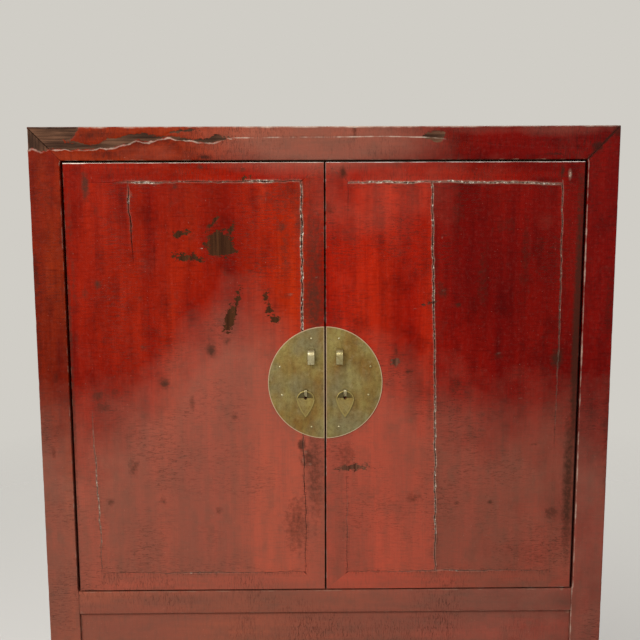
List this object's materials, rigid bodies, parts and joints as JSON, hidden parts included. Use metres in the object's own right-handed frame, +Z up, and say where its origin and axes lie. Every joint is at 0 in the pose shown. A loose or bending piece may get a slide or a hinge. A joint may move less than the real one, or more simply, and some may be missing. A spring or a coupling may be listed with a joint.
{
  "type": "two-door storage cabinet",
  "caption": "Tall square-cornered lacquered wooden cabinet with two flush doors on wooden pivots, a split round brass lock plate with leaf pulls, a shelf and a hidden compartment.",
  "frame": {"origin": "on the floor, under the middle of the whole cabinet with its brass fittings", "axes": "+Z up, +X to the right of a person who faces the doors, -Y out of the doors"},
  "size_m": [1.1, 0.5544, 1.46],
  "materials": {
    "frame_lacquer": "worn dark red lacquer",
    "door_lacquer": "worn red lacquer",
    "bare_wood": "old bare elm",
    "aged_brass": "brown patina"
  },
  "bodies": {
    "carcase": {"front_left_post": "frame_lacquer", "front_right_post": "frame_lacquer", "rear_left_post": "frame_lacquer", "rear_right_post": "frame_lacquer", "top_front_rail": "frame_lacquer", "top_rear_rail": "frame_lacquer", "top_left_rail": "frame_lacquer", "top_right_rail": "frame_lacquer", "top_boards": "frame_lacquer", "top_batten": "bare_wood", "door_sill_rail": "frame_lacquer", "rear_middle_rail": "bare_wood", "left_middle_rail": "frame_lacquer", "right_middle_rail": "frame_lacquer", "front_bottom_rail": "frame_lacquer", "rear_bottom_rail": "bare_wood", "left_bottom_rail": "frame_lacquer", "right_bottom_rail": "frame_lacquer", "compartment_front_board": "frame_lacquer", "compartment_floor_boards": "bare_wood", "door_stop_strips": "bare_wood", "left_upper_boards": "frame_lacquer", "right_upper_boards": "frame_lacquer", "left_lower_boards": "frame_lacquer", "right_lower_boards": "frame_lacquer", "back_upper_boards": "bare_wood", "back_lower_boards": "bare_wood", "front_apron": "frame_lacquer", "front_apron_brackets": "frame_lacquer", "left_apron": "frame_lacquer", "right_apron": "frame_lacquer", "shelf_front_rail": "bare_wood", "shelf_rear_rail": "bare_wood", "shelf_side_rails": "bare_wood", "shelf_boards": "bare_wood"},
    "left_door": {"left_hinge_stile": "door_lacquer", "left_meeting_stile": "door_lacquer", "left_door_top_rail": "door_lacquer", "left_door_bottom_rail": "door_lacquer", "left_door_boards": "door_lacquer", "left_door_battens": "bare_wood", "left_lock_plate": "aged_brass", "left_plate_nails": "aged_brass", "left_lock_staple": "aged_brass", "left_pull_cotter": "aged_brass"},
    "left_pull": {"left_leaf_pull": "aged_brass"},
    "left_lid": {"left_compartment_lid": "bare_wood"},
    "right_door": {"right_hinge_stile": "door_lacquer", "right_meeting_stile": "door_lacquer", "right_door_top_rail": "door_lacquer", "right_door_bottom_rail": "door_lacquer", "right_door_boards": "door_lacquer", "right_door_battens": "bare_wood", "right_lock_plate": "aged_brass", "right_plate_nails": "aged_brass", "right_lock_staple": "aged_brass", "right_pull_cotter": "aged_brass"},
    "right_pull": {"right_leaf_pull": "aged_brass"},
    "right_lid": {"right_compartment_lid": "bare_wood"}
  },
  "joints": [
    {"name": "left_door_swing", "type": "hinge", "parent": "carcase", "child": "left_door", "pos_m": [-0.474, -0.25075, 0.974], "axis": [0, 0, -1], "range_deg": [0, 100]},
    {"name": "right_door_swing", "type": "hinge", "parent": "carcase", "child": "right_door", "pos_m": [0.474, -0.25075, 0.974], "axis": [0, 0, 1], "range_deg": [0, 100]},
    {"name": "left_pull_swing", "type": "hinge", "parent": "left_door", "child": "left_pull", "pos_m": [-0.038, -0.2659, 0.9576], "axis": [-1, 0, 0], "range_deg": [0, 170]},
    {"name": "right_pull_swing", "type": "hinge", "parent": "right_door", "child": "right_pull", "pos_m": [0.038, -0.2659, 0.9576], "axis": [-1, 0, 0], "range_deg": [0, 170]},
    {"name": "left_lid_lift", "type": "slide", "parent": "carcase", "child": "left_lid", "axis": [0, 0, 1], "range_m": [0, 0.3]},
    {"name": "right_lid_lift", "type": "slide", "parent": "carcase", "child": "right_lid", "axis": [0, 0, 1], "range_m": [0, 0.3]}
  ]
}
